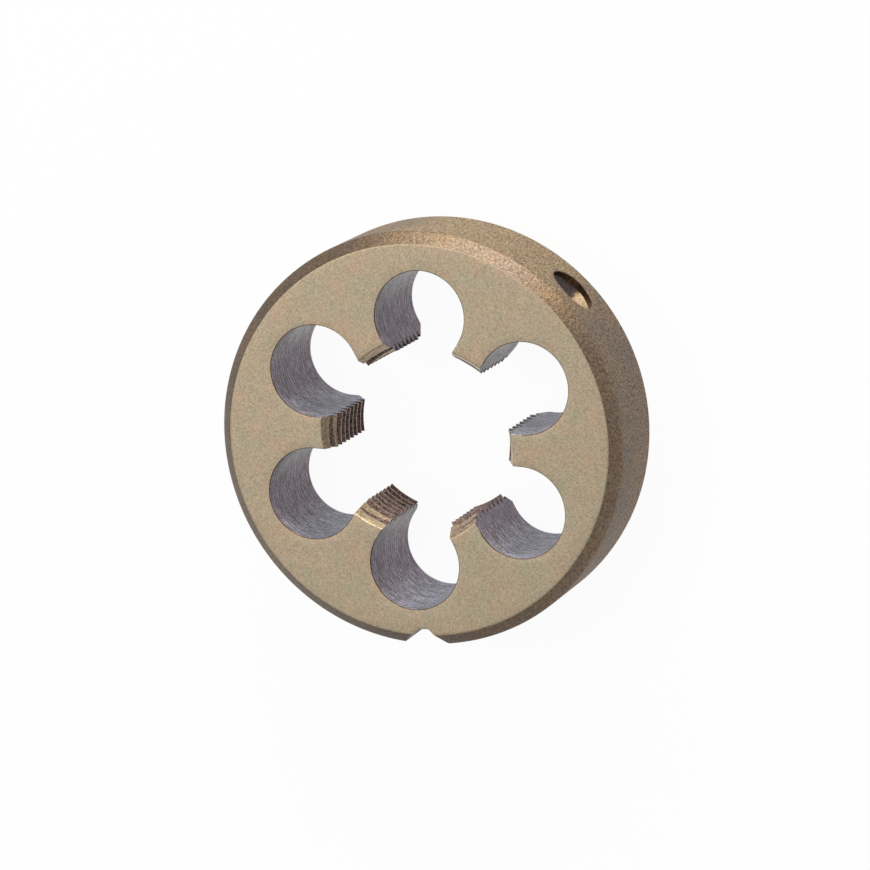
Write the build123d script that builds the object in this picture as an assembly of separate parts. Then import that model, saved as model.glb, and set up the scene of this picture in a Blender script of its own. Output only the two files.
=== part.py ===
from build123d import *
import math
import os

# Round threading die of the closed kind, cut from one disc of tool steel.
#
# Frame, in millimetres: the origin is the centre of the back face, +Z runs along the die's
# axis towards the lead face where a rod is started, +X runs through the middle of a land, and
# the notch lies close to -Y.

# Blank
OUTER_DIAMETER = 65.0
THICKNESS = 18.0
FRONT_BEVEL_RADIAL = 1.85
FRONT_BEVEL_AXIAL = 1.95
BACK_BEVEL = 1.45

# Chip holes: drilled round a circle and breaking into the bore, so that a land is left between
# each two of them and a wall between them and the rim
CHIP_HOLE_COUNT = 6
LAND_WIDTH = 5.05
RIM_WALL = 5.85

# Thread: right-hand, 55 degree form, fourteen turns to the inch
TURNS_PER_INCH = 14
THREAD_ANGLE = 55.0
THREAD_MAJOR_DIAMETER = 30.2
THREAD_MINOR_DIAMETER = 27.88
FIRST_CREST_HEIGHT = 1.7

# Lead chamfer on the front of each land, and the plain chamfer at the back
LEAD_MOUTH_DIAMETER = 31.3
LEAD_LENGTH = 3.4
LEAD_RELIEF = 1.4
BACK_MOUTH_DIAMETER = 32.0
BACK_CHAMFER_LENGTH = 2.9

# Notch and fixing dimples in the rim, indexed a little round from the chip holes
RIM_TURN = 2.9
NOTCH_DEPTH = 2.8
NOTCH_ANGLE = 90.0
NOTCH_ROOT_WIDTH = 1.8
NOTCH_ROOT_FILLET = 0.4
DIMPLE_DIAMETER = 7.7
DIMPLE_WALL = 0.8
DIMPLE_POINT_ANGLE = 118.0
DIMPLE_HEIGHT = THICKNESS / 2
DIMPLES_FROM_NOTCH = 134.8

# How far cutters run past the surfaces that they open, and turns of thread cut past each face
OVERRUN = 1.0
EXTRA_TURNS = 2
INCH = 25.4

OUTER_RADIUS = OUTER_DIAMETER / 2
MAJOR_RADIUS = THREAD_MAJOR_DIAMETER / 2
MINOR_RADIUS = THREAD_MINOR_DIAMETER / 2
THREAD_PITCH = INCH / TURNS_PER_INCH
FLANK_HEIGHT = (MAJOR_RADIUS - MINOR_RADIUS) * math.tan(math.radians(THREAD_ANGLE / 2))
# Tooth tips and roots are equal flats
TOOTH_FLAT = (THREAD_PITCH - 2 * FLANK_HEIGHT) / 2
PILOT_RADIUS = MINOR_RADIUS - OVERRUN
SECTOR = 360 / CHIP_HOLE_COUNT
# The chip hole that leaves both the rim wall and the land width, and the circle it lies on
HALF_SECTOR_SINE = math.sin(math.radians(SECTOR / 2))
CHIP_HOLE_REACH = OUTER_RADIUS - RIM_WALL
CHIP_HOLE_RADIUS = (CHIP_HOLE_REACH * HALF_SECTOR_SINE - LAND_WIDTH / 2) / (1 + HALF_SECTOR_SINE)
CHIP_HOLE_CIRCLE_RADIUS = CHIP_HOLE_REACH - CHIP_HOLE_RADIUS
NOTCH_DIRECTION = -90 + RIM_TURN
# Where the rim is as far out as the two ends of a dimple's mouth
DIMPLE_FLAT_RADIUS = math.sqrt(OUTER_RADIUS**2 - (DIMPLE_DIAMETER / 2) ** 2)


def half_section(points):
    """A face in the XZ half-plane, from (radius, height) points."""
    return make_face(Polyline([(radius, 0, height) for radius, height in points], close=True))


def blank():
    """The bevelled disc before any hole is cut."""
    outline = [
        (0, 0),
        (OUTER_RADIUS - BACK_BEVEL, 0),
        (OUTER_RADIUS, BACK_BEVEL),
        (OUTER_RADIUS, THICKNESS - FRONT_BEVEL_AXIAL),
        (OUTER_RADIUS - FRONT_BEVEL_RADIAL, THICKNESS),
        (0, THICKNESS),
    ]
    return revolve(half_section(outline), Axis.Z)


def through_cylinder(radius):
    """A cutter on the die's axis that runs past both faces."""
    middle = Location((0, 0, THICKNESS / 2))
    return middle * Cylinder(radius, THICKNESS + 2 * OVERRUN)


def chip_hole_cutter():
    """The chip hole on +X, drop-shaped in plan: the far arc of a circle, then a straight flank
    along each neighbouring land. The flanks meet inside the bore."""
    touch_x = CHIP_HOLE_CIRCLE_RADIUS - CHIP_HOLE_RADIUS * HALF_SECTOR_SINE
    touch_y = CHIP_HOLE_RADIUS * math.cos(math.radians(SECTOR / 2))
    meeting_x = CHIP_HOLE_CIRCLE_RADIUS - CHIP_HOLE_RADIUS / HALF_SECTOR_SINE
    arc = ThreePointArc((touch_x, touch_y), (CHIP_HOLE_REACH, 0), (touch_x, -touch_y))
    flanks = Polyline((touch_x, -touch_y), (meeting_x, 0), (touch_x, touch_y))
    drop = make_face([arc, flanks])
    return extrude(drop.moved(Location((0, 0, -OVERRUN))), THICKNESS + 2 * OVERRUN)


def chip_holes():
    """The ring of chip holes, each halfway between two lands."""
    first = chip_hole_cutter().rotate(Axis.Z, SECTOR / 2)
    return [first.rotate(Axis.Z, SECTOR * hole) for hole in range(CHIP_HOLE_COUNT)]


def thread_outline():
    """What the thread leaves open, seen in half-section: the teeth point at the axis."""
    first_turn = -math.ceil(FIRST_CREST_HEIGHT / THREAD_PITCH) - EXTRA_TURNS
    last_turn = math.ceil((THICKNESS - FIRST_CREST_HEIGHT) / THREAD_PITCH) + EXTRA_TURNS
    points = []
    for turn in range(first_turn, last_turn + 1):
        crest = turn * THREAD_PITCH
        root = crest + TOOTH_FLAT + FLANK_HEIGHT
        for radius, middle in ((MINOR_RADIUS, crest), (MAJOR_RADIUS, root)):
            points.append((radius, middle - TOOTH_FLAT / 2))
            points.append((radius, middle + TOOTH_FLAT / 2))
    inner = PILOT_RADIUS - OVERRUN
    top = points[-1][1]
    bottom = points[0][1]
    return points + [(inner, top), (inner, bottom)]


def land_sector(outline):
    """An outline turned about the axis through the one land on +X, from chip hole to chip hole."""
    start = half_section(outline).rotate(Axis.Z, -SECTOR / 2)
    return revolve(start, Axis.Z, SECTOR)


def thread_cutter(land):
    """One land's stretch of the helix. It is so short that a ring tilted to the lead angle
    follows it, and the next land's ring is one part of a pitch higher."""
    pitch_radius = (MAJOR_RADIUS + MINOR_RADIUS) / 2
    lead_angle = math.degrees(math.atan(THREAD_PITCH / (2 * math.pi * pitch_radius)))
    height = FIRST_CREST_HEIGHT + THREAD_PITCH * land / CHIP_HOLE_COUNT
    ring = land_sector(thread_outline()).rotate(Axis.X, lead_angle)
    return ring.moved(Location((0, 0, height))).rotate(Axis.Z, SECTOR * land)


def lead_cutter(land):
    """One land's lead chamfer. Its cone is off centre, so the chamfer falls away behind the
    cutting edge."""
    mouth = LEAD_MOUTH_DIAMETER / 2
    slope = (mouth - MINOR_RADIUS) / LEAD_LENGTH
    inner = PILOT_RADIUS - OVERRUN
    outline = [
        (inner, THICKNESS + OVERRUN),
        (mouth + slope * OVERRUN, THICKNESS + OVERRUN),
        (mouth - slope * (LEAD_LENGTH + OVERRUN), THICKNESS - LEAD_LENGTH - OVERRUN),
        (inner, THICKNESS - LEAD_LENGTH - OVERRUN),
    ]
    cone = land_sector(outline).moved(Location((0, -LEAD_RELIEF, 0)))
    return cone.rotate(Axis.Z, SECTOR * land)


def back_cutter():
    """The plain chamfer where the finished rod leaves."""
    mouth = BACK_MOUTH_DIAMETER / 2
    slope = (mouth - MINOR_RADIUS) / BACK_CHAMFER_LENGTH
    outline = [
        (0, -OVERRUN),
        (mouth + slope * OVERRUN, -OVERRUN),
        (MINOR_RADIUS - slope * OVERRUN, BACK_CHAMFER_LENGTH + OVERRUN),
        (0, BACK_CHAMFER_LENGTH + OVERRUN),
    ]
    return revolve(half_section(outline), Axis.Z)


def notch_cutter():
    """The V notch right through the rim, with a flat root that is eased at its corners."""
    root = OUTER_RADIUS - NOTCH_DEPTH
    mouth = OUTER_RADIUS + OVERRUN
    half_root = NOTCH_ROOT_WIDTH / 2
    half_mouth = half_root + (mouth - root) * math.tan(math.radians(NOTCH_ANGLE / 2))
    outline = [(root, -half_root), (mouth, -half_mouth), (mouth, half_mouth), (root, half_root)]
    wedge = make_face(Polyline(outline, close=True))
    root_corners = wedge.vertices().group_by(Axis.X)[0]
    eased = fillet(root_corners, NOTCH_ROOT_FILLET)
    prism = extrude(eased.moved(Location((0, 0, -OVERRUN))), THICKNESS + 2 * OVERRUN)
    return prism.rotate(Axis.Z, NOTCH_DIRECTION)


def dimple_cutter(direction):
    """A seat for a fixing screw, drilled square to the rim: a short straight wall, then the
    drill's point."""
    radius = DIMPLE_DIAMETER / 2
    point = radius / math.tan(math.radians(DIMPLE_POINT_ANGLE / 2))
    mouth = point + DIMPLE_WALL + OUTER_RADIUS - DIMPLE_FLAT_RADIUS
    outline = [(0, 0), (radius, point), (radius, mouth), (0, mouth)]
    drill = revolve(half_section(outline), Axis.Z).rotate(Axis.Y, 90)
    tip_radius = DIMPLE_FLAT_RADIUS - DIMPLE_WALL - point
    return drill.moved(Location((tip_radius, 0, DIMPLE_HEIGHT))).rotate(Axis.Z, direction)


def die():
    """The finished die."""
    body = blank() - through_cylinder(PILOT_RADIUS) - chip_holes()
    for land in range(CHIP_HOLE_COUNT):
        body -= thread_cutter(land)
        body -= lead_cutter(land)
    body -= back_cutter()
    body -= notch_cutter()
    for side in (-1, 1):
        body -= dimple_cutter(NOTCH_DIRECTION + side * DIMPLES_FROM_NOTCH)
    return body


os.makedirs("parts", exist_ok=True)
export_step(die(), "parts/threading_die.step")
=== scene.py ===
"""A round threading die of tan, heat-treated tool steel, lying on its back on a white floor.

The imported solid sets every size. Its place is taken by one closed mesh of the same shape, finer
in what the solid leaves plain: a true helix on each land, softened edges, and the rings that
the drill left in the chip holes.

The mesh is worked out in millimetres, in the solid's frame: the origin is the centre of the back
face, +Z is the die's axis towards the lead face, and +X runs through the middle of a land. The
wall round the bore and the chip holes is made in upright columns, the rim in level rings, and
two flat faces of triangles close them.
"""
import math
from collections import namedtuple

import bpy
import numpy as np
from mathutils import Euler, Matrix, Vector, noise
from mathutils.geometry import delaunay_2d_cdt


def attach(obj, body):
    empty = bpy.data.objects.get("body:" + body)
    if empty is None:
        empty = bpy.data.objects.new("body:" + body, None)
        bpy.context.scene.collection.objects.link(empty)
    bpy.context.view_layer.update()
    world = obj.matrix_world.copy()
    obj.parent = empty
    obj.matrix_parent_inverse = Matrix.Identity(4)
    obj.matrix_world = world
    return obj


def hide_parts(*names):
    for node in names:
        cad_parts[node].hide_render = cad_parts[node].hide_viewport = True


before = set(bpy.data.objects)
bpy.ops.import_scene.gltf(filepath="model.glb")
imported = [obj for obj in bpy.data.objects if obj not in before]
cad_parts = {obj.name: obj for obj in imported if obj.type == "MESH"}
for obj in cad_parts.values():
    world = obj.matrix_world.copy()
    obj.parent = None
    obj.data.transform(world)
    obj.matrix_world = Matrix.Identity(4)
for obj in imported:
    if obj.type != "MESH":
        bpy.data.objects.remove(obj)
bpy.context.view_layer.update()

MM = 0.001
INCH = 25.4

# The blank, as in the solid
OUTER_RADIUS = 32.5
THICKNESS = 18.0
FRONT_BEVEL_RADIAL = 1.85
FRONT_BEVEL_AXIAL = 1.95
BACK_BEVEL = 1.45

# The chip holes, each a circle with a straight flank along each neighbouring land. They leave
# this wall to the rim and lands of this width.
HOLE_COUNT = 6
RIM_WALL = 5.85
LAND_HALF_WIDTH = 5.05 / 2

# The thread on the lands: 55 degree form, fourteen turns to the inch
PITCH = INCH / 14
MAJOR_RADIUS = 15.1
MINOR_RADIUS = 13.94
FLANK_TURN = math.radians(55 / 2)
FIRST_CREST_HEIGHT = 1.7

# The lead chamfer, whose cone is off centre by the relief, and the plain back chamfer
LEAD_MOUTH = 15.65
LEAD_LENGTH = 3.4
LEAD_RELIEF = 1.4
BACK_MOUTH = 16.0
BACK_LENGTH = 2.9

# The notch in the rim, with sides at 45 degrees to its mid-plane, and how far along them the
# corners of its root are eased
NOTCH_DIRECTION = math.radians(-87.1)
NOTCH_DEPTH = 2.8
NOTCH_HALF_ROOT = 0.9
NOTCH_ROOT_EASE = 0.17

# The dimples that the stock's screws sit in, drilled into the rim so far to each side of the
# notch
DIMPLE_RADIUS = 3.85
DIMPLE_WALL = 0.8
DIMPLE_POINT_TURN = math.radians(118 / 2)
DIMPLE_HEIGHT = THICKNESS / 2
DIMPLE_FROM_NOTCH = math.radians(134.8)

# How far edges are softened: most of them, those of the bevels, and the corners of the notch
EDGE = 0.11
BEVEL_EDGE = 0.22
NOTCH_EDGE = 0.16

# The drill's rings on a chip hole's wall are noise, fine and broad: so many waves to the
# millimetre up it and to the radian round it, each hole's from its own place in the noise
Rings = namedtuple("Rings", "up_per_mm round_per_radian first_hole hole_step")
FINE_RINGS = Rings(3.1, 0.3, 0, 5.3)
BROAD_RINGS = Rings(1.1, 0.2, 40, 9.1)
BROAD_RING_SHARE = 0.8
RING_DEPTH = 0.011
# They drift up and down on the way round, each hole's from its own place too, and fade out near
# the faces, in millimetres, and near the flanks, in radians
RING_DRIFT = 0.5
RING_DRIFTS_ROUND = 1.3
RING_DRIFT_HOLE_STEP = 7.7
RING_FADE_UP = 0.8
RING_FADE_ROUND = 0.35

# The drill's marks on a dimple's floor, as (height, how far the wave turns from ring to ring)
FLOOR_MARKS = ((0.012, 2.4), (0.01, 1.1))

# Fineness of the mesh: how many steps, rows or rings each part has, and distances on it
EDGE_STEPS = 4
LAND_STEPS = 10
FLANK_STEPS = 4
ARC_STEPS = 54
HOLE_ROW_HEIGHT = 0.16
RIM_STEPS = 300
RIM_ROWS = 18
BEVEL_ROWS = 3
NOTCH_EDGE_STEPS = 3
NOTCH_WALL_STEPS = 5
NOTCH_BLEND_STEPS = 3
DIMPLE_BLEND_RINGS = 6
DIMPLE_WALL_RINGS = 5
DIMPLE_FLOOR_RINGS = 16
FACE_SPACING = 1.5
FACE_CLEARANCE = 0.75

# The rim's even grid starts so far round from the notch, and a dimple takes a block out of it,
# so far to each side and so far up and down
NOTCH_CLEAR = math.radians(9)
BLOCK_TURN = math.radians(10.8)
BLOCK_HEIGHT = 5.9

# Heights, keys and radii closer than this are the same
SAME = 1e-6
# How close a tooth's corner may come to a land's softened end, or the end of a chamfer to
# another row, and still make a row
END_CLEARANCE = 0.02
ROW_CLEARANCE = 0.01
# How often a stretch is halved to find the end of a chamfer in it
HALVINGS = 40
# How many turns of the thread are followed below the first crest and past the lead face
EXTRA_TURNS = 3
# Sets the keys of a land's softened ends apart from those between them
END_KEY = 100

# The height of a triangle whose sides are 1 long
TRIANGLE_HEIGHT = 0.866
# Points of a face closer than this are one point
ONE_POINT = 1e-7
# Stands in for a rise of nothing in a division
NO_RISE = 1e-12

# What made each surface, which is also the number of its material
FACE, RIM, HOLE, THREAD, CREST, LEAD, SEAT, BEVEL, DARK_EDGE = range(9)

# Edges sharper than this are shaded as edges
SHARP_TURN = math.radians(24)

SECTOR = 2 * math.pi / HOLE_COUNT
# The chip hole that leaves both the rim wall and the land's width, the circle it lies on, and
# how far round from its middle its arc ends and its flanks start
HALF_SECTOR_SINE = math.sin(SECTOR / 2)
HOLE_REACH = OUTER_RADIUS - RIM_WALL
HOLE_RADIUS = (HOLE_REACH * HALF_SECTOR_SINE - LAND_HALF_WIDTH) / (1 + HALF_SECTOR_SINE)
HOLE_CIRCLE = HOLE_REACH - HOLE_RADIUS
ARC_TURN = math.pi / 2 + SECTOR / 2
FLANK_HEIGHT = (MAJOR_RADIUS - MINOR_RADIUS) * math.tan(FLANK_TURN)
# Tooth tips and roots are equal flats
TOOTH_FLAT = (PITCH - 2 * FLANK_HEIGHT) / 2
# How far the helix climbs for each millimetre across a land
HELIX_SLOPE = PITCH / (math.pi * (MAJOR_RADIUS + MINOR_RADIUS))
ROOT_RADIUS = OUTER_RADIUS - NOTCH_DEPTH
RIM_SWEEP = 2 * math.pi - 2 * NOTCH_CLEAR
DIMPLE_TURNS = (DIMPLE_FROM_NOTCH, 2 * math.pi - DIMPLE_FROM_NOTCH)
DIMPLE_MOUTH = DIMPLE_RADIUS + EDGE
# How far out a dimple's straight wall ends and its floor starts
FLOOR_RADIUS = math.sqrt(OUTER_RADIUS**2 - DIMPLE_RADIUS**2) - DIMPLE_WALL

# A row of a column: what it is matched by from column to column, its vertex, and what made the
# surface above it
Row = namedtuple("Row", "key vertex kind")
# A row of a land's side, in the land's own frame
SideRow = namedtuple("SideRow", "height vertex x y")
# A block of the rim's grid, as its first and last columns and rows of vertices
Block = namedtuple("Block", "left right low high")

verts = []
faces = []
kinds = []


def add(x, y, z):
    """A new vertex; its number."""
    verts.append((x, y, z))
    return len(verts) - 1


def patch(corners, kind):
    """A new face between vertices, which run anticlockwise seen from outside the steel."""
    faces.append(tuple(corners))
    kinds.append(kind)


def turned(x, y, angle):
    """A point turned about the die's axis."""
    c, s = math.cos(angle), math.sin(angle)
    return x * c - y * s, x * s + y * c


def on_circle(radius, turn):
    """The point of a circle round the origin, at a turn from the first of two axes."""
    return radius * math.cos(turn), radius * math.sin(turn)


def towards(start, end, share):
    """The point a share of the way from one point to another."""
    return tuple(a + (b - a) * share for a, b in zip(start, end))


def strip(first, second):
    """Joins two neighbouring columns, each a list of rows from the bottom up. Rows whose keys
    agree share a quad, and the rest are joined with triangles."""
    i = j = 0
    while i < len(first) - 1 or j < len(second) - 1:
        key_1 = first[i + 1].key if i < len(first) - 1 else math.inf
        key_2 = second[j + 1].key if j < len(second) - 1 else math.inf
        if abs(key_1 - key_2) < SAME:
            kind = first[i].kind
            ring = (first[i + 1].vertex, second[j + 1].vertex, second[j].vertex, first[i].vertex)
            i, j = i + 1, j + 1
        elif key_1 < key_2:
            kind = first[i].kind
            ring = (first[i + 1].vertex, second[j].vertex, first[i].vertex)
            i += 1
        else:
            kind = second[j].kind
            ring = (second[j + 1].vertex, second[j].vertex, first[i].vertex)
            j += 1
        patch(ring, kind)


def full_rows(heights):
    """A column's rows with a softened end below and above: (height, how far the edge has
    receded there, height halfway to the next row)."""
    turns = [math.pi / 2 * step / EDGE_STEPS for step in range(1, EDGE_STEPS + 1)]
    edge = [(EDGE * math.sin(turn), EDGE * (1 - math.cos(turn))) for turn in turns]
    rows = [(EDGE - rise, back) for rise, back in reversed(edge)]
    rows += [(height, 0.0) for height in heights]
    rows += [(THICKNESS - EDGE + rise, back) for rise, back in edge]
    following = rows[1:] + rows[-1:]
    return [(z, back, (z + above) / 2) for (z, back), (above, _) in zip(rows, following)]


# ---- the lands -------------------------------------------------------------------------


def thread_radius(phase):
    """The thread's radius at a height above the middle of a tooth's tip."""
    off = abs((phase + PITCH / 2) % PITCH - PITCH / 2)
    climb = (off - TOOTH_FLAT / 2) / math.tan(FLANK_TURN)
    return min(max(MINOR_RADIUS + climb, MINOR_RADIUS), MAJOR_RADIUS)


def land_surfaces(y, z, crest):
    """How far out the thread, the lead chamfer and the back chamfer each open a land, at a
    place across it and a height. The land's first crest is at the height crest."""
    thread = thread_radius(z - crest - y * HELIX_SLOPE)
    lead = LEAD_MOUTH - (THICKNESS - z) * (LEAD_MOUTH - MINOR_RADIUS) / LEAD_LENGTH
    back = BACK_MOUTH - z * (BACK_MOUTH - MINOR_RADIUS) / BACK_LENGTH
    off = y + LEAD_RELIEF
    return (
        math.sqrt(thread**2 - y**2),
        math.sqrt(max(lead, abs(off)) ** 2 - off**2),
        math.sqrt(max(back, abs(y)) ** 2 - y**2),
    )


def widest(y, z, crest):
    """Which of the thread, the lead chamfer and the back chamfer opens a land most there, and so
    makes its surface: 0 is the thread."""
    opened = land_surfaces(y, z, crest)
    return opened.index(max(opened))


def land_kind(y, z, crest):
    """What made a land's surface at a height."""
    if not EDGE < z < THICKNESS - EDGE or widest(y, z, crest) != 0:
        return LEAD
    at_tip = thread_radius(z - crest - y * HELIX_SLOPE) < MINOR_RADIUS + SAME
    return CREST if at_tip else THREAD


def chamfer_end(y, below, above, crest):
    """The height between two rows at which a chamfer ends, or None."""
    low, high = below, above
    maker = widest(y, low + SAME, crest)
    if maker == widest(y, high - SAME, crest):
        return None
    for _ in range(HALVINGS):
        middle = (low + high) / 2
        if widest(y, middle, crest) == maker:
            low = middle
        else:
            high = middle
    return low if min(low - below, above - low) > ROW_CLEARANCE else None


def land_heights(y, crest):
    """The heights at which a land's outline bends: the corners of the teeth, and where the
    chamfers end."""
    low, high = EDGE, THICKNESS - EDGE
    half_tip = TOOTH_FLAT / 2
    corners = (-half_tip - FLANK_HEIGHT, -half_tip, half_tip, half_tip + FLANK_HEIGHT)
    heights = {low, high}
    for turn in range(-EXTRA_TURNS, int(THICKNESS / PITCH) + EXTRA_TURNS):
        middle = crest + turn * PITCH + y * HELIX_SLOPE
        for corner in corners:
            if low + END_CLEARANCE < middle + corner < high - END_CLEARANCE:
                heights.add(middle + corner)
    heights = sorted(heights)
    ends = [chamfer_end(y, below, above, crest) for below, above in zip(heights, heights[1:])]
    return sorted(heights + [end for end in ends if end is not None])


def land_key(y, z):
    """What a land's row is matched by from column to column: its place on the helix, or in the
    softened ends its height, set apart from every place on the helix."""
    if EDGE + SAME < z < THICKNESS - EDGE - SAME:
        return z - y * HELIX_SLOPE
    return z + END_KEY if z > THICKNESS / 2 else z - END_KEY


def land_columns(land):
    """The land's columns from its clockwise side, and the rows of its two sides."""
    crest = FIRST_CREST_HEIGHT + PITCH * land / HOLE_COUNT
    columns, sides = [], []
    for step in range(LAND_STEPS + 1):
        y = LAND_HALF_WIDTH * (2 * step / LAND_STEPS - 1)
        column, side = [], []
        for z, back, halfway in full_rows(land_heights(y, crest)):
            x = max(land_surfaces(y, z, crest)) + back
            y_here = y * (1 - back / LAND_HALF_WIDTH)
            vertex = add(*turned(x, y_here, SECTOR * land), z)
            column.append(Row(land_key(y, z), vertex, land_kind(y, halfway, crest)))
            side.append(SideRow(z, vertex, x, y_here))
        columns.append(column)
        sides.append(side)
    return columns, sides[0], sides[-1]


def flank_columns(land, side):
    """The columns of a flank, from a land's side outwards to just short of the chip hole's arc.
    The side's own vertices come first."""
    # How far out along the land the arc starts
    arc_start = HOLE_CIRCLE * math.cos(SECTOR / 2)
    columns = [[Row(row.height, row.vertex, HOLE) for row in side]]
    for step in range(1, FLANK_STEPS):
        share = step / FLANK_STEPS
        column = []
        for row in side:
            x = row.x + (arc_start - row.x) * share
            vertex = add(*turned(x, row.y, SECTOR * land), row.height)
            column.append(Row(row.height, vertex, HOLE))
        columns.append(column)
    return columns


# ---- the chip holes --------------------------------------------------------------------


def ring_wave(rings, hole, turn, height):
    """One kind of the drill's rings at a place on a chip hole's wall, from -1 to 1."""
    hole_place = hole * rings.hole_step + rings.first_hole
    place = (height * rings.up_per_mm, hole_place, rings.round_per_radian * turn)
    return noise.noise(Vector(place))


def drill_ring(hole, turn, z):
    """How deep the drill's rings are at a place on a chip hole's wall."""
    drift_place = (*on_circle(RING_DRIFTS_ROUND, turn), hole * RING_DRIFT_HOLE_STEP)
    height = z + RING_DRIFT * noise.noise(Vector(drift_place))
    fine = ring_wave(FINE_RINGS, hole, turn, height)
    broad = ring_wave(BROAD_RINGS, hole, turn, height)
    up = min(1.0, (z - EDGE) / RING_FADE_UP, (THICKNESS - EDGE - z) / RING_FADE_UP)
    aside = min(1.0, (ARC_TURN - abs(turn)) / RING_FADE_ROUND)
    return RING_DEPTH * (fine + BROAD_RING_SHARE * broad) * max(0.0, up) * max(0.0, aside)


def hole_columns(hole):
    """The columns of a chip hole's arc, anticlockwise round the die."""
    count = round(THICKNESS / HOLE_ROW_HEIGHT)
    heights = [EDGE + (THICKNESS - 2 * EDGE) * step / count for step in range(count + 1)]
    rows = full_rows(heights)
    columns = []
    for step in range(ARC_STEPS + 1):
        turn = ARC_TURN * (2 * step / ARC_STEPS - 1)
        column = []
        for z, back, halfway in rows:
            x, y = on_circle(HOLE_RADIUS + back + drill_ring(hole, turn, z), turn)
            vertex = add(*turned(HOLE_CIRCLE + x, y, SECTOR * (hole + 0.5)), z)
            kind = HOLE if EDGE < halfway < THICKNESS - EDGE else DARK_EDGE
            column.append(Row(z, vertex, kind))
        columns.append(column)
    return columns


def inner_wall():
    """The whole wall round the bore and the chip holes; its top and bottom loops."""
    lands = [land_columns(land) for land in range(HOLE_COUNT)]
    loop = []
    for land, (tip, _, side) in enumerate(lands):
        following = (land + 1) % HOLE_COUNT
        outwards = flank_columns(land, side)
        arc = hole_columns(land)
        inwards = flank_columns(following, lands[following][1])[::-1]
        hole = outwards + arc + inwards
        for run in (tip, hole):
            for first, second in zip(run, run[1:]):
                strip(first, second)
            loop += run[:-1]
    return [column[-1].vertex for column in loop], [column[0].vertex for column in loop]


# ---- the rim, its bevels and notch -------------------------------------------------------


def eased(before, corner, after, reach, steps):
    """Points round a corner between two straight runs, on a quadratic curve that starts and
    ends so far along them."""
    start, end = (
        [c + (o - c) * reach / math.dist(other, corner) for c, o in zip(corner, other)]
        for other in (before, after)
    )
    points = []
    for step in range(steps + 1):
        t = step / steps
        weights = ((1 - t) ** 2, 2 * t * (1 - t), t**2)
        terms = [[weight * c for c in point] for weight, point in zip(weights, (start, corner, end))]
        points.append(tuple(sum(axis_terms) for axis_terms in zip(*terms)))
    return points


def rim_profile():
    """(radius, height) up the outside, from the back face to the front face."""
    corners = [
        (MINOR_RADIUS, 0),
        (OUTER_RADIUS - BACK_BEVEL, 0),
        (OUTER_RADIUS, BACK_BEVEL),
        (OUTER_RADIUS, THICKNESS - FRONT_BEVEL_AXIAL),
        (OUTER_RADIUS - FRONT_BEVEL_RADIAL, THICKNESS),
        (MINOR_RADIUS, THICKNESS),
    ]
    profile = []
    for before, corner, after in zip(corners, corners[1:], corners[2:]):
        points = eased(before, corner, after, BEVEL_EDGE, EDGE_STEPS)
        if profile:
            upright = abs(points[0][0] - profile[-1][0]) < SAME
            rows = RIM_ROWS if upright else BEVEL_ROWS
            profile += [towards(profile[-1], points[0], row / rows) for row in range(1, rows)]
        profile += points
    return profile


def outside_kind(z):
    """What made the outside at a height."""
    if BACK_BEVEL < z < THICKNESS - FRONT_BEVEL_AXIAL:
        return RIM
    return BEVEL if EDGE < z < THICKNESS - EDGE else FACE


def end_recess(z):
    """How far the notch has widened at its softened ends."""
    into = max(0.0, z - (THICKNESS - EDGE), EDGE - z)
    return EDGE - math.sqrt(EDGE**2 - into**2)


def half_notch(radius, recess):
    """The notch on +X: how far round from it the rim starts, and its outline from there to the
    middle of its root, on its +Y side."""
    # The side lies on the line y = x + lift
    lift = NOTCH_HALF_ROOT - ROOT_RADIUS + recess * math.sqrt(2)
    x = (math.sqrt(2 * radius**2 - lift**2) - lift) / 2
    mouth = (x, x + lift)
    root = (ROOT_RADIUS - recess, ROOT_RADIUS - recess + lift)
    root_middle = (root[0], 0)
    rim_turn = math.atan2(mouth[1], mouth[0]) + NOTCH_EDGE / radius
    rim_end = on_circle(radius, rim_turn)
    mouth_edge = eased(rim_end, mouth, root, NOTCH_EDGE, NOTCH_EDGE_STEPS)
    mouth_edge[0] = rim_end
    root_edge = eased(mouth, root, root_middle, NOTCH_ROOT_EASE, NOTCH_EDGE_STEPS)
    shares = [step / NOTCH_WALL_STEPS for step in range(1, NOTCH_WALL_STEPS)]
    wall = [towards(mouth_edge[-1], root_edge[0], share) for share in shares]
    return rim_turn, mouth_edge + wall + root_edge + [root_middle]


def rim_ring(radius, z):
    """One level of the outside with the notch on +X: anticlockwise points from the start of
    the even grid right round to it."""
    rim_turn, half = half_notch(radius, end_recess(z))
    grid_turns = [NOTCH_CLEAR + RIM_SWEEP * step / RIM_STEPS for step in range(RIM_STEPS + 1)]
    shares = [step / NOTCH_BLEND_STEPS for step in range(1, NOTCH_BLEND_STEPS)]
    grid_part = [on_circle(radius, turn) for turn in grid_turns]
    blend = [on_circle(radius, NOTCH_CLEAR + (rim_turn - NOTCH_CLEAR) * share) for share in shares]
    far_half = [(x, -y) for x, y in half]
    far_blend = [(x, -y) for x, y in blend]
    return grid_part + far_blend + far_half[:-1] + half[::-1] + blend[::-1]


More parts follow.
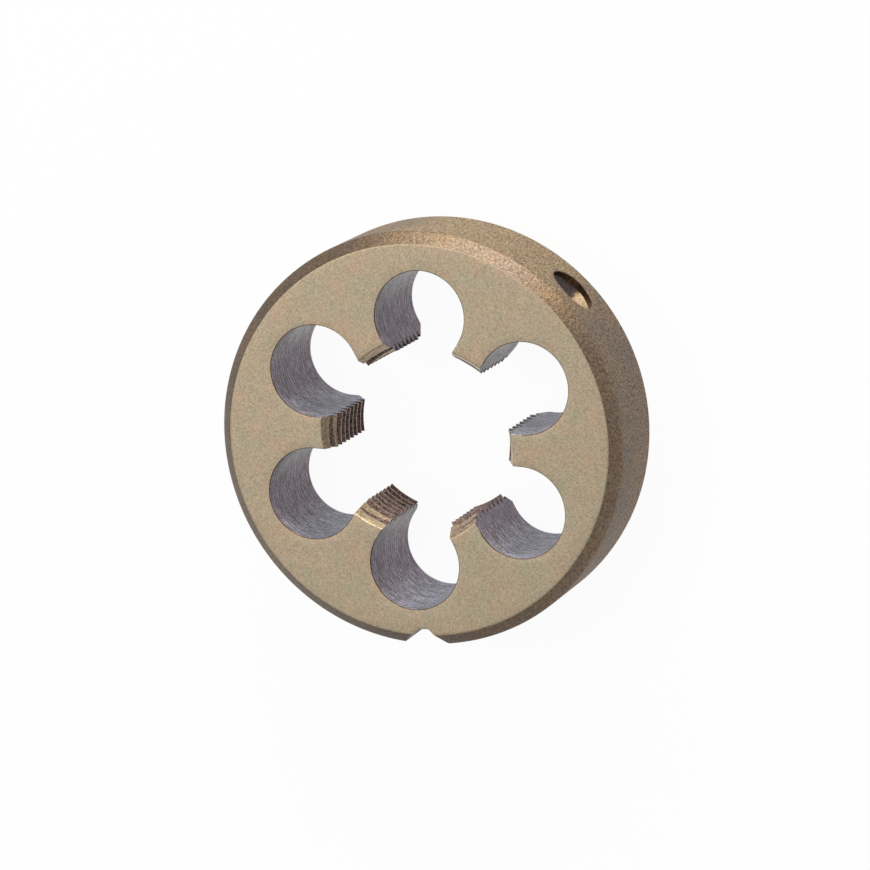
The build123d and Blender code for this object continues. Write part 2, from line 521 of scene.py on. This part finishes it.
def rim_wall():
    """The outside with its notch and dimples; its top and bottom loops."""
    profile = rim_profile()
    heights = [z for _, z in profile]
    grid = []
    for radius, z in profile:
        ring = [turned(x, y, NOTCH_DIRECTION) for x, y in rim_ring(radius, z)]
        grid.append([add(x, y, z) for x, y in ring])
    blocks = [dimple_block(turn, heights) for turn in DIMPLE_TURNS]
    for turn, block in zip(DIMPLE_TURNS, blocks):
        dimple(grid, NOTCH_DIRECTION + turn, block)
    width = len(grid[0])
    for row in range(len(grid) - 1):
        kind = outside_kind((heights[row] + heights[row + 1]) / 2)
        for col in range(width):
            if any(b.left <= col < b.right and b.low <= row < b.high for b in blocks):
                continue
            after = (col + 1) % width
            patch((grid[row][col], grid[row][after], grid[row + 1][after], grid[row + 1][col]), kind)
    return grid[-1], grid[0]


# ---- the dimples in the rim --------------------------------------------------------------


def dimple_block(turn, heights):
    """The block of the rim's grid that a dimple takes the place of."""
    step = RIM_SWEEP / RIM_STEPS
    middle = (turn - NOTCH_CLEAR) / step
    reach = BLOCK_TURN / step
    return Block(
        round(middle - reach),
        round(middle + reach),
        min(row for row, z in enumerate(heights) if z > DIMPLE_HEIGHT - BLOCK_HEIGHT),
        max(row for row, z in enumerate(heights) if z < DIMPLE_HEIGHT + BLOCK_HEIGHT),
    )


def block_edge(grid, block):
    """The vertices round a block, anticlockwise seen from outside."""
    left, right, low, high = block
    edge = [grid[low][col] for col in range(left, right)]
    edge += [grid[row][right] for row in range(low, high)]
    edge += [grid[high][col] for col in range(right, left, -1)]
    edge += [grid[row][left] for row in range(high, low, -1)]
    return edge


def rim_to_mouth(spots, turns):
    """Rings on the rim's own surface, from the edge of a block in to the dimple's mouth."""
    rings = []
    for step in range(1, DIMPLE_BLEND_RINGS + 1):
        share = step / DIMPLE_BLEND_RINGS
        ring = []
        for (along, up), turn in zip(spots, turns):
            mouth_y, mouth_up = on_circle(DIMPLE_MOUTH, turn)
            mouth_along = OUTER_RADIUS * math.asin(mouth_y / OUTER_RADIUS)
            here = (along + (mouth_along - along) * share) / OUTER_RADIUS
            ring.append((*on_circle(OUTER_RADIUS, here), up + (mouth_up - up) * share))
        rings.append(ring)
    return rings


def mouth_and_wall(turns):
    """Rings down a dimple's softened mouth and its straight wall."""
    rings = []
    for step in range(1, EDGE_STEPS + 1):
        bend = math.pi / 2 * step / EDGE_STEPS
        radius = DIMPLE_MOUTH - EDGE * math.sin(bend)
        depth = EDGE * (1 - math.cos(bend))
        ring = []
        for turn in turns:
            rim_x = math.sqrt(OUTER_RADIUS**2 - (DIMPLE_MOUTH * math.cos(turn)) ** 2)
            ring.append((rim_x - depth, *on_circle(radius, turn)))
        rings.append(ring)
    top = rings[-1]
    for step in range(1, DIMPLE_WALL_RINGS + 1):
        share = step / DIMPLE_WALL_RINGS
        rings.append([(x + (FLOOR_RADIUS - x) * share, y, up) for x, y, up in top])
    return rings


def floor_rings(turns):
    """Rings down the cone that the drill's point left, with its faint marks, but for the tip."""
    rings = []
    for step in range(1, DIMPLE_FLOOR_RINGS):
        radius = DIMPLE_RADIUS * (1 - step / DIMPLE_FLOOR_RINGS)
        depth = (DIMPLE_RADIUS - radius) / math.tan(DIMPLE_POINT_TURN)
        wave = sum(height * math.sin(step * spin) for height, spin in FLOOR_MARKS)
        rings.append([(FLOOR_RADIUS - depth + wave, *on_circle(radius, turn)) for turn in turns])
    return rings


def dimple(grid, direction, block):
    """A screw's seat, drilled into a block of the rim's grid. Its rings are worked out on +X
    from its own height, as (outwards, along the rim, up)."""
    edge = block_edge(grid, block)
    spots = []
    for x, y, z in (verts[vertex] for vertex in edge):
        outwards, aside = turned(x, y, -direction)
        spots.append((OUTER_RADIUS * math.atan2(aside, outwards), z - DIMPLE_HEIGHT))
    turns = [math.atan2(up, along) for along, up in spots]
    levels = [(ring, RIM) for ring in rim_to_mouth(spots, turns)]
    # Painted shade: the dimple's softened mouth and wall are dark brown
    levels += [(ring, DARK_EDGE) for ring in mouth_and_wall(turns)]
    levels += [(ring, SEAT) for ring in floor_rings(turns)]
    outer = edge
    for ring, kind in levels:
        inner = [add(*turned(x, y, direction), DIMPLE_HEIGHT + up) for x, y, up in ring]
        for i in range(len(edge)):
            after = (i + 1) % len(edge)
            patch((outer[i], outer[after], inner[after], inner[i]), kind)
        outer = inner
    tip_radius = FLOOR_RADIUS - DIMPLE_RADIUS / math.tan(DIMPLE_POINT_TURN)
    tip = add(*turned(tip_radius, 0, direction), DIMPLE_HEIGHT)
    for i in range(len(edge)):
        patch((outer[i], outer[(i + 1) % len(edge)], tip), SEAT)


# ---- the two faces -----------------------------------------------------------------------


def inside(points, loop):
    """Which points lie inside a closed loop: those from which a ray along X crosses it an odd
    number of times."""
    x, y = points[:, 0][:, None], points[:, 1][:, None]
    x1, y1 = loop[:, 0], loop[:, 1]
    x2, y2 = np.roll(x1, -1), np.roll(y1, -1)
    spans = (y1 > y) != (y2 > y)
    rise = np.where(y2 == y1, NO_RISE, y2 - y1)
    crosses = spans & (x < (x2 - x1) * (y - y1) / rise + x1)
    return crosses.sum(1) % 2 == 1


def even_spots(outline, opening):
    """The points of a triangular grid that lie between two outlines and clear of both."""
    row_height = FACE_SPACING * TRIANGLE_HEIGHT
    rows = int(OUTER_RADIUS / row_height) + 1
    spots = []
    for row in range(-rows, rows + 1):
        shift = 0.5 * (row % 2)
        for col in range(-rows, rows + 1):
            spots.append(((col + shift) * FACE_SPACING, row * row_height))
    spots = np.array(spots)
    edges = np.vstack([outline, opening])
    near = np.min(np.linalg.norm(spots[:, None, :] - edges[None, :, :], axis=2), axis=1)
    return spots[(near > FACE_CLEARANCE) & inside(spots, outline) & ~inside(spots, opening)]


def flat_face(outer, inner, z, up):
    """The flat face between the rim and the inner wall, in triangles of an even size."""
    outline = np.array([verts[vertex][:2] for vertex in outer])
    opening = np.array([verts[vertex][:2] for vertex in inner])
    corners = outer + inner + [add(x, y, z) for x, y in even_spots(outline, opening)]
    points = [Vector(verts[vertex][:2]) for vertex in corners]
    borders = []
    for start, count in ((0, len(outer)), (len(outer), len(inner))):
        borders += [(start + i, start + (i + 1) % count) for i in range(count)]
    found, _, triangles, came_from, _, _ = delaunay_2d_cdt(points, borders, [], 0, ONE_POINT)
    middles = np.array([[sum(found[i][k] for i in t) / 3 for k in (0, 1)] for t in triangles])
    keep = inside(middles, outline) & ~inside(middles, opening)
    for triangle, kept in zip(triangles, keep):
        if kept:
            ring = [corners[came_from[i][0]] for i in triangle]
            a, b, c = (verts[vertex] for vertex in ring)
            turning = (b[0] - a[0]) * (c[1] - a[1]) - (b[1] - a[1]) * (c[0] - a[0])
            patch(ring if (turning > 0) == up else ring[::-1], FACE)


def die_mesh():
    """The die's closed mesh, in metres. The rim's vertices inside the dimples' blocks drop out."""
    inner_top, inner_bottom = inner_wall()
    outer_top, outer_bottom = rim_wall()
    flat_face(outer_top, inner_top, THICKNESS, True)
    flat_face(outer_bottom, inner_bottom, 0.0, False)
    used = sorted({vertex for ring in faces for vertex in ring})
    renumbered = {vertex: i for i, vertex in enumerate(used)}
    rings = [tuple(renumbered[vertex] for vertex in ring) for ring in faces]
    mesh = bpy.data.meshes.new("die_steel")
    mesh.from_pydata([Vector(verts[vertex]) * MM for vertex in used], [], rings)
    mesh.polygons.foreach_set("material_index", kinds)
    mesh.polygons.foreach_set("use_smooth", [kind != FACE for kind in kinds])
    mesh.update()
    mesh.set_sharp_from_angle(angle=SHARP_TURN)
    return mesh


die = bpy.data.objects.new("die_steel", die_mesh())
bpy.context.scene.collection.objects.link(die)
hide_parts("threading_die")
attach(die, "root")

# ---- materials ---------------------------------------------------------------------------

# The middle of the rim's straw side, as a turn from +X: partly a straw heat tint and partly painted
# light on the side towards the far_side lamp
STRAW_AND_LIT_TURN = math.radians(72)


def srgb(r, g, b):
    """A colour written as it looks on screen."""
    channels = [c / 255 for c in (r, g, b)]
    return tuple(c / 12.92 if c <= 0.04045 else ((c + 0.055) / 1.055) ** 2.4 for c in channels) + (1.0,)


class Finish:
    """A material under construction. Its textures are measured in millimetres on the die, and
    where a colour or a number goes in, the output of a node can go in too."""

    def __init__(self, name, roughness, metallic):
        self.material = bpy.data.materials.new(name)
        self.material.use_nodes = True
        self.tree = self.material.node_tree
        self.shader = self.tree.nodes["Principled BSDF"]
        self.shader.inputs["Roughness"].default_value = roughness
        self.shader.inputs["Metallic"].default_value = metallic
        where = self.tree.nodes.new("ShaderNodeTexCoord")
        scale = self.tree.nodes.new("ShaderNodeVectorMath")
        scale.operation = "SCALE"
        scale.inputs["Scale"].default_value = 1 / MM
        self.give(where.outputs["Object"], scale.inputs[0])
        self.place = scale.outputs[0]
        self.facing = where.outputs["Normal"]

    def give(self, value, socket):
        """Sets a socket to a constant, or links another node's output to it."""
        if isinstance(value, bpy.types.NodeSocket):
            self.tree.links.new(value, socket)
        else:
            socket.default_value = value

    def stretched(self, factors):
        """The place on the die, stretched along each axis."""
        node = self.tree.nodes.new("ShaderNodeMapping")
        node.inputs["Scale"].default_value = factors
        self.give(self.place, node.inputs["Vector"])
        return node.outputs["Vector"]

    def folded(self):
        """The place on the die with the notch turned to -Y and every side folded on to +X and
        +Y, so that both dimples lie at one place."""
        turn = self.tree.nodes.new("ShaderNodeVectorRotate")
        turn.rotation_type = "Z_AXIS"
        turn.inputs["Angle"].default_value = -math.pi / 2 - NOTCH_DIRECTION
        self.give(self.place, turn.inputs["Vector"])
        fold = self.tree.nodes.new("ShaderNodeVectorMath")
        fold.operation = "ABSOLUTE"
        self.give(turn.outputs[0], fold.inputs[0])
        return fold.outputs[0]

    def along(self, vector, direction):
        """How far a place or a normal goes along a direction."""
        node = self.tree.nodes.new("ShaderNodeVectorMath")
        node.operation = "DOT_PRODUCT"
        node.inputs[1].default_value = direction
        self.give(vector, node.inputs[0])
        return node.outputs["Value"]

    def noise(self, per_mm, detail, roughness, place=None):
        """Smooth noise about 0.5, with so many of its coarsest waves to the millimetre."""
        node = self.tree.nodes.new("ShaderNodeTexNoise")
        node.inputs["Scale"].default_value = per_mm
        node.inputs["Detail"].default_value = detail
        node.inputs["Roughness"].default_value = roughness
        self.give(place or self.place, node.inputs["Vector"])
        return node.outputs["Fac"]

    def rings(self, spacing):
        """Level rings about the die's axis, so many millimetres apart and a little unsteady."""
        node = self.tree.nodes.new("ShaderNodeTexWave")
        node.bands_direction = "Z"
        # The texture's own waves are 2 pi / 20 apart
        node.inputs["Scale"].default_value = 2 * math.pi / (20 * spacing)
        node.inputs["Distortion"].default_value = 1.2
        node.inputs["Detail"].default_value = 2.0
        node.inputs["Detail Scale"].default_value = 0.5
        self.give(self.place, node.inputs["Vector"])
        return node.outputs["Fac"]

    def plus_scaled(self, total, value, factor):
        """A total with a value added so many times."""
        node = self.tree.nodes.new("ShaderNodeMath")
        node.operation = "MULTIPLY_ADD"
        for part, socket in zip((value, factor, total), node.inputs):
            self.give(part, socket)
        return node.outputs[0]

    def ramp(self, value, *stops):
        """A value turned into colours; each stop is (value, colour or grey)."""
        node = self.tree.nodes.new("ShaderNodeValToRGB")
        ramp = node.color_ramp
        while len(ramp.elements) < len(stops):
            ramp.elements.new(0.5)
        for element, (where, colour) in zip(ramp.elements, stops):
            element.position = where
            element.color = colour if isinstance(colour, tuple) else (colour, colour, colour, 1)
        self.give(value, node.inputs["Fac"])
        return node.outputs["Color"]

    def mixed(self, first, second, share, way="MIX"):
        """The first colour with a share of the second laid over it in one of Blender's ways."""
        node = self.tree.nodes.new("ShaderNodeMix")
        node.data_type = "RGBA"
        node.blend_type = way
        for name, value in (("Factor", share), ("A", first), ("B", second)):
            self.give(value, node.inputs[name])
        return node.outputs["Result"]

    def shaded(self, film, value, *stops):
        """A colour made darker or lighter by a value; each stop is (value, factor)."""
        return self.mixed(film, self.ramp(value, *stops), 1.0, "MULTIPLY")

    def colour(self, source):
        """Gives the surface its colour."""
        self.give(source, self.shader.inputs["Base Color"])

    def bump(self, height, strength, distance):
        """A height from 0 to 1 that tilts the surface as if so many millimetres high."""
        node = self.tree.nodes.new("ShaderNodeBump")
        node.inputs["Strength"].default_value = strength
        node.inputs["Distance"].default_value = distance * MM
        self.give(height, node.inputs["Height"])
        self.give(node.outputs["Normal"], self.shader.inputs["Normal"])


def ground_face():
    """Satin ground steel with a thin straw film, faintly clouded green, pink and orange."""
    finish = Finish("ground_face", roughness=0.6, metallic=0.45)
    film = finish.ramp(
        finish.noise(per_mm=0.3, detail=5, roughness=0.65),
        (0.32, srgb(176, 166, 140)),
        (0.45, srgb(182, 166, 140)),
        (0.55, srgb(185, 165, 139)),
        (0.68, srgb(190, 165, 137)),
    )
    grain = finish.noise(per_mm=4.2, detail=2, roughness=0.7)
    finish.colour(finish.shaded(film, grain, (0.3, 0.7), (0.7, 1.3)))
    finish.bump(grain, strength=0.5, distance=0.03)
    return finish


def brown_film(finish):
    """The blasted brown of the outside, lighter and more like straw on one side: partly a heat tint
    and partly painted light on the side towards the far_side lamp."""
    clouds = finish.noise(per_mm=0.09, detail=4, roughness=0.6)
    brown = finish.ramp(
        clouds,
        (0.35, srgb(104, 89, 78)),
        (0.5, srgb(113, 95, 77)),
        (0.65, srgb(121, 98, 74)),
    )
    # Painted light, partly straw tint: the side facing this turn is mixed to a lighter straw colour
    straw_and_lit_side = (*on_circle(1, STRAW_AND_LIT_TURN), 0)
    to_straw_and_lit = finish.plus_scaled(finish.along(finish.facing, straw_and_lit_side), clouds, 0.1)
    return finish.mixed(brown, srgb(136, 116, 88), finish.ramp(to_straw_and_lit, (0.91, 0.0), (1.0, 1.0)))


def blasted_rim():
    """The rim: brown and matt, with grains that catch the light."""
    finish = Finish("blasted_rim", roughness=0.5, metallic=0.7)
    finish.shader.inputs["Specular IOR Level"].default_value = 0.15
    # The film is painted lighter on its straw side, partly as painted light
    film = brown_film(finish)
    grain = finish.noise(per_mm=3.1, detail=3, roughness=0.75)
    finish.colour(finish.shaded(film, grain, (0.37, 0.25), (0.63, 2.15)))
    finish.bump(grain, strength=1.0, distance=0.24)
    return finish


def turned_bevel():
    """The bevels: the same brown, smoother, so that they mirror a light. They carry painted light
    and shade: lighter on the +X side and darker towards the notch."""
    finish = Finish("turned_bevel", roughness=0.42, metallic=0.7)
    # Painted light and shade: the bevel is lighter where it faces +X, darker where it faces away
    painted_shading_x = finish.along(finish.facing, (1, 0, 0))
    # Painted shade: darker where the bevel faces the notch
    painted_shade_notch = finish.along(finish.facing, (0, -1, 0))
    film = finish.shaded(brown_film(finish), painted_shading_x, (0.0, 0.76), (0.7, 1.38))
    film = finish.shaded(film, painted_shade_notch, (0.45, 1.0), (0.7, 0.7))
    grain = finish.noise(per_mm=2.4, detail=3, roughness=0.75)
    finish.colour(finish.shaded(film, grain, (0.37, 0.75), (0.63, 1.7)))
    finish.bump(grain, strength=0.7, distance=0.1)
    return finish


def drilled_hole():
    """The chip holes' walls: blue-grey, with painted shade that makes them darker and violet where
    they face +X and darker and bluer where they face +Y, and streaked along the drill's rings."""
    finish = Finish("drilled_hole", roughness=0.45, metallic=0.5)
    film = finish.ramp(
        finish.noise(per_mm=0.22, detail=4, roughness=0.6),
        (0.35, srgb(182, 182, 176)),
        (0.5, srgb(178, 176, 174)),
        (0.65, srgb(172, 167, 171)),
    )
    # Painted shade, tinted violet: darker where the wall faces +X
    painted_shading_x = finish.along(finish.facing, (0.94, 0.34, 0))
    film = finish.mixed(film, srgb(130, 116, 128), finish.ramp(painted_shading_x, (0.4, 0.0), (0.95, 1.0)))
    # Painted shade, tinted blue: darker where the wall faces +Y
    painted_shade_y = finish.along(finish.facing, (-0.2, 0.98, 0))
    film = finish.mixed(film, srgb(138, 136, 151), finish.ramp(painted_shade_y, (0.4, 0.0), (1.0, 1.0)))
    film = finish.shaded(film, finish.rings(spacing=0.95), (0.0, 0.66), (0.6, 1.1))
    speckle = finish.noise(per_mm=2.7, detail=2, roughness=0.7)
    film = finish.shaded(film, speckle, (0.38, 0.55), (0.62, 1.38))
    along_rings = finish.stretched((0.5, 0.5, 3.0))
    streaks = finish.noise(per_mm=1.0, detail=3, roughness=0.75, place=along_rings)
    finish.colour(finish.shaded(film, streaks, (0.36, 0.3), (0.66, 1.76)))
    finish.bump(streaks, strength=0.8, distance=0.05)
    return finish


def screw_seat():
    """The screws' seats, painted in two halves: a bright cream painted highlight on the side away
    from the other seat, and dark brown painted shade on the rest."""
    finish = Finish("screw_seat", roughness=0.4, metallic=0.6)
    seat_direction = DIMPLE_FROM_NOTCH - math.pi / 2
    to_other_seat = (*on_circle(1, math.pi - seat_direction), 0)
    # Painted highlight and shade: bright cream away from the other seat, dark towards it
    across = finish.along(finish.folded(), to_other_seat)
    upright = finish.stretched((1, 1, 0.4))
    streaks = finish.noise(per_mm=1.6, detail=3, roughness=0.7, place=upright)
    in_the_middle = 0.44
    more_per_mm = 1 / 8
    film = finish.ramp(
        finish.plus_scaled(finish.plus_scaled(in_the_middle, across, more_per_mm), streaks, 0.25),
        (0.36, srgb(188, 165, 134)),
        (0.44, srgb(166, 140, 106)),
        (0.48, srgb(104, 80, 60)),
        (0.55, srgb(70, 58, 56)),
    )
    grain = finish.noise(per_mm=2.6, detail=2, roughness=0.7)
    finish.colour(finish.shaded(film, grain, (0.3, 0.5), (0.7, 1.5)))
    finish.bump(grain, strength=0.6, distance=0.04)
    return finish


def plain_finish(name, colour, roughness, metallic, shades):
    """A surface of one colour, with a fine grain between two factors of it."""
    finish = Finish(name, roughness, metallic)
    grain = finish.noise(per_mm=2.6, detail=3, roughness=0.75)
    darkest, lightest = shades
    finish.colour(finish.shaded(colour, grain, (0.35, darkest), (0.65, lightest)))
    finish.bump(grain, strength=0.4, distance=0.02)
    return finish


def thread():
    """The thread's flanks and roots: dark and coarse."""
    return plain_finish("thread", srgb(124, 102, 94), 0.5, 0.5, shades=(0.0, 2.1))


def tooth_tip():
    """The teeth's tips, rubbed lighter."""
    return plain_finish("tooth_tip", srgb(156, 132, 116), 0.4, 0.6, shades=(0.4, 1.5))


def lead_chamfer():
    """The ground chamfers: bright straw."""
    return plain_finish("lead_chamfer", srgb(188, 167, 138), 0.38, 0.75, shades=(0.5, 1.5))


def dark_edge():
    """The softened edges round the chip holes: dark brown. The dimples' edges and walls: dark brown
    as painted shade in the hollow.
    """
    return plain_finish("dark_edge", srgb(92, 72, 56), 0.35, 0.8, shades=(0.3, 1.7))


finishes = {
    FACE: ground_face(),
    RIM: blasted_rim(),
    HOLE: drilled_hole(),
    THREAD: thread(),
    CREST: tooth_tip(),
    LEAD: lead_chamfer(),
    SEAT: screw_seat(),
    BEVEL: turned_bevel(),
    DARK_EDGE: dark_edge(),
}
for kind in sorted(finishes):
    die.data.materials.append(finishes[kind].material)

# ---- camera, floor and light, in metres ---------------------------------------------------

# Where the camera stands, and how many degrees it is turned about X, Y and Z
CAMERA_PLACE = (0.216144, 0.149888, 0.663479)
CAMERA_TURNS = (-11.9915, 18.4982, 1.0737)
CAMERA_LENS = 187.59
CAMERA_SENSOR = 36
# The nearest and the farthest that the camera sees
CAMERA_SEES = (0.01, 10)

FLOOR_HALF_WIDTH = 3.0
FLOOR_DROP = 0.02 * MM
# The share of the floor that is plain white where it is seen, and its grey for other light
FLOOR_GLOW = 0.95
FLOOR_BOUNCE = 0.4
WHITE = (1, 1, 1, 1)

# The point that the lights face
LIGHTS_AIM = Vector((0, 0, 0.01))
WORLD_COLOUR = (0.97, 0.98, 1, 1)
WORLD_STRENGTH = 0.32


def fixed_camera():
    """The photograph's camera, found by fitting it to the outlines of the die."""
    data = bpy.data.cameras.new("camera")
    camera = bpy.data.objects.new("camera", data)
    bpy.context.scene.collection.objects.link(camera)
    turns = Euler([math.radians(turn) for turn in CAMERA_TURNS])
    camera.matrix_world = Matrix.LocRotScale(Vector(CAMERA_PLACE), turns, None)
    data.lens = CAMERA_LENS
    data.sensor_width = CAMERA_SENSOR
    data.clip_start, data.clip_end = CAMERA_SEES
    bpy.context.scene.camera = camera
    bpy.context.scene.view_settings.view_transform = "Standard"


def floor_material():
    """Matt white. Seen directly, or in or through something, it is mostly plain white, and the
    rest of it takes the die's shadow. To other light it is a darker grey."""
    material = bpy.data.materials.new("white_floor")
    material.use_nodes = True
    tree = material.node_tree
    paint = tree.nodes.new("ShaderNodeBsdfDiffuse")
    glow = tree.nodes.new("ShaderNodeEmission")
    glow.inputs["Color"].default_value = WHITE
    glow.inputs["Strength"].default_value = 1.0
    path = tree.nodes.new("ShaderNodeLightPath")
    seen = path.outputs["Is Camera Ray"]
    for ray in ("Is Glossy Ray", "Is Transmission Ray"):
        either = tree.nodes.new("ShaderNodeMath")
        either.operation = "MAXIMUM"
        tree.links.new(seen, either.inputs[0])
        tree.links.new(path.outputs[ray], either.inputs[1])
        seen = either.outputs[0]
    tone = tree.nodes.new("ShaderNodeMix")
    tone.data_type = "RGBA"
    tone.inputs["A"].default_value = (FLOOR_BOUNCE, FLOOR_BOUNCE, FLOOR_BOUNCE, 1)
    tone.inputs["B"].default_value = WHITE
    tree.links.new(seen, tone.inputs["Factor"])
    tree.links.new(tone.outputs["Result"], paint.inputs["Color"])
    share = tree.nodes.new("ShaderNodeMath")
    share.operation = "MULTIPLY"
    share.inputs[1].default_value = FLOOR_GLOW
    tree.links.new(seen, share.inputs[0])
    mix = tree.nodes.new("ShaderNodeMixShader")
    tree.links.new(share.outputs[0], mix.inputs[0])
    tree.links.new(paint.outputs[0], mix.inputs[1])
    tree.links.new(glow.outputs[0], mix.inputs[2])
    tree.links.new(mix.outputs[0], tree.nodes["Material Output"].inputs["Surface"])
    return material


def white_floor():
    """A wide floor, a hair below the die's back face so that the two don't flicker."""
    half = FLOOR_HALF_WIDTH
    corners = [(-half, -half, 0), (half, -half, 0), (half, half, 0), (-half, half, 0)]
    sheet = bpy.data.meshes.new("floor")
    sheet.from_pydata(corners, [], [(0, 1, 2, 3)])
    sheet.materials.append(floor_material())
    floor = bpy.data.objects.new("floor", sheet)
    floor.location.z = -FLOOR_DROP
    bpy.context.scene.collection.objects.link(floor)


def soft_light(name, place, width, height, radiance, colour):
    """A flat soft light that faces the die, of an even brightness over its area."""
    data = bpy.data.lights.new(name, "AREA")
    data.shape = "RECTANGLE"
    data.size = width
    data.size_y = height
    data.energy = radiance * math.pi * width * height
    data.color = colour
    lamp = bpy.data.objects.new(name, data)
    bpy.context.scene.collection.objects.link(lamp)
    lamp.location = place
    lamp.rotation_euler = (LIGHTS_AIM - Vector(place)).to_track_quat("-Z", "Y").to_euler()


def grey_world():
    """The even light from all round."""
    world = bpy.data.worlds.new("world")
    bpy.context.scene.world = world
    world.use_nodes = True
    background = world.node_tree.nodes["Background"]
    background.inputs["Color"].default_value = WORLD_COLOUR
    background.inputs["Strength"].default_value = WORLD_STRENGTH


fixed_camera()
white_floor()
soft_light("overhead", (-0.2, 0.04, 0.42), width=0.3, height=0.3, radiance=2.9, colour=(1, 1, 1))
soft_light("far_side", (0.01, 0.62, 0.17), width=0.58, height=0.3, radiance=8.5, colour=(1, 0.98, 0.91))
grey_world()
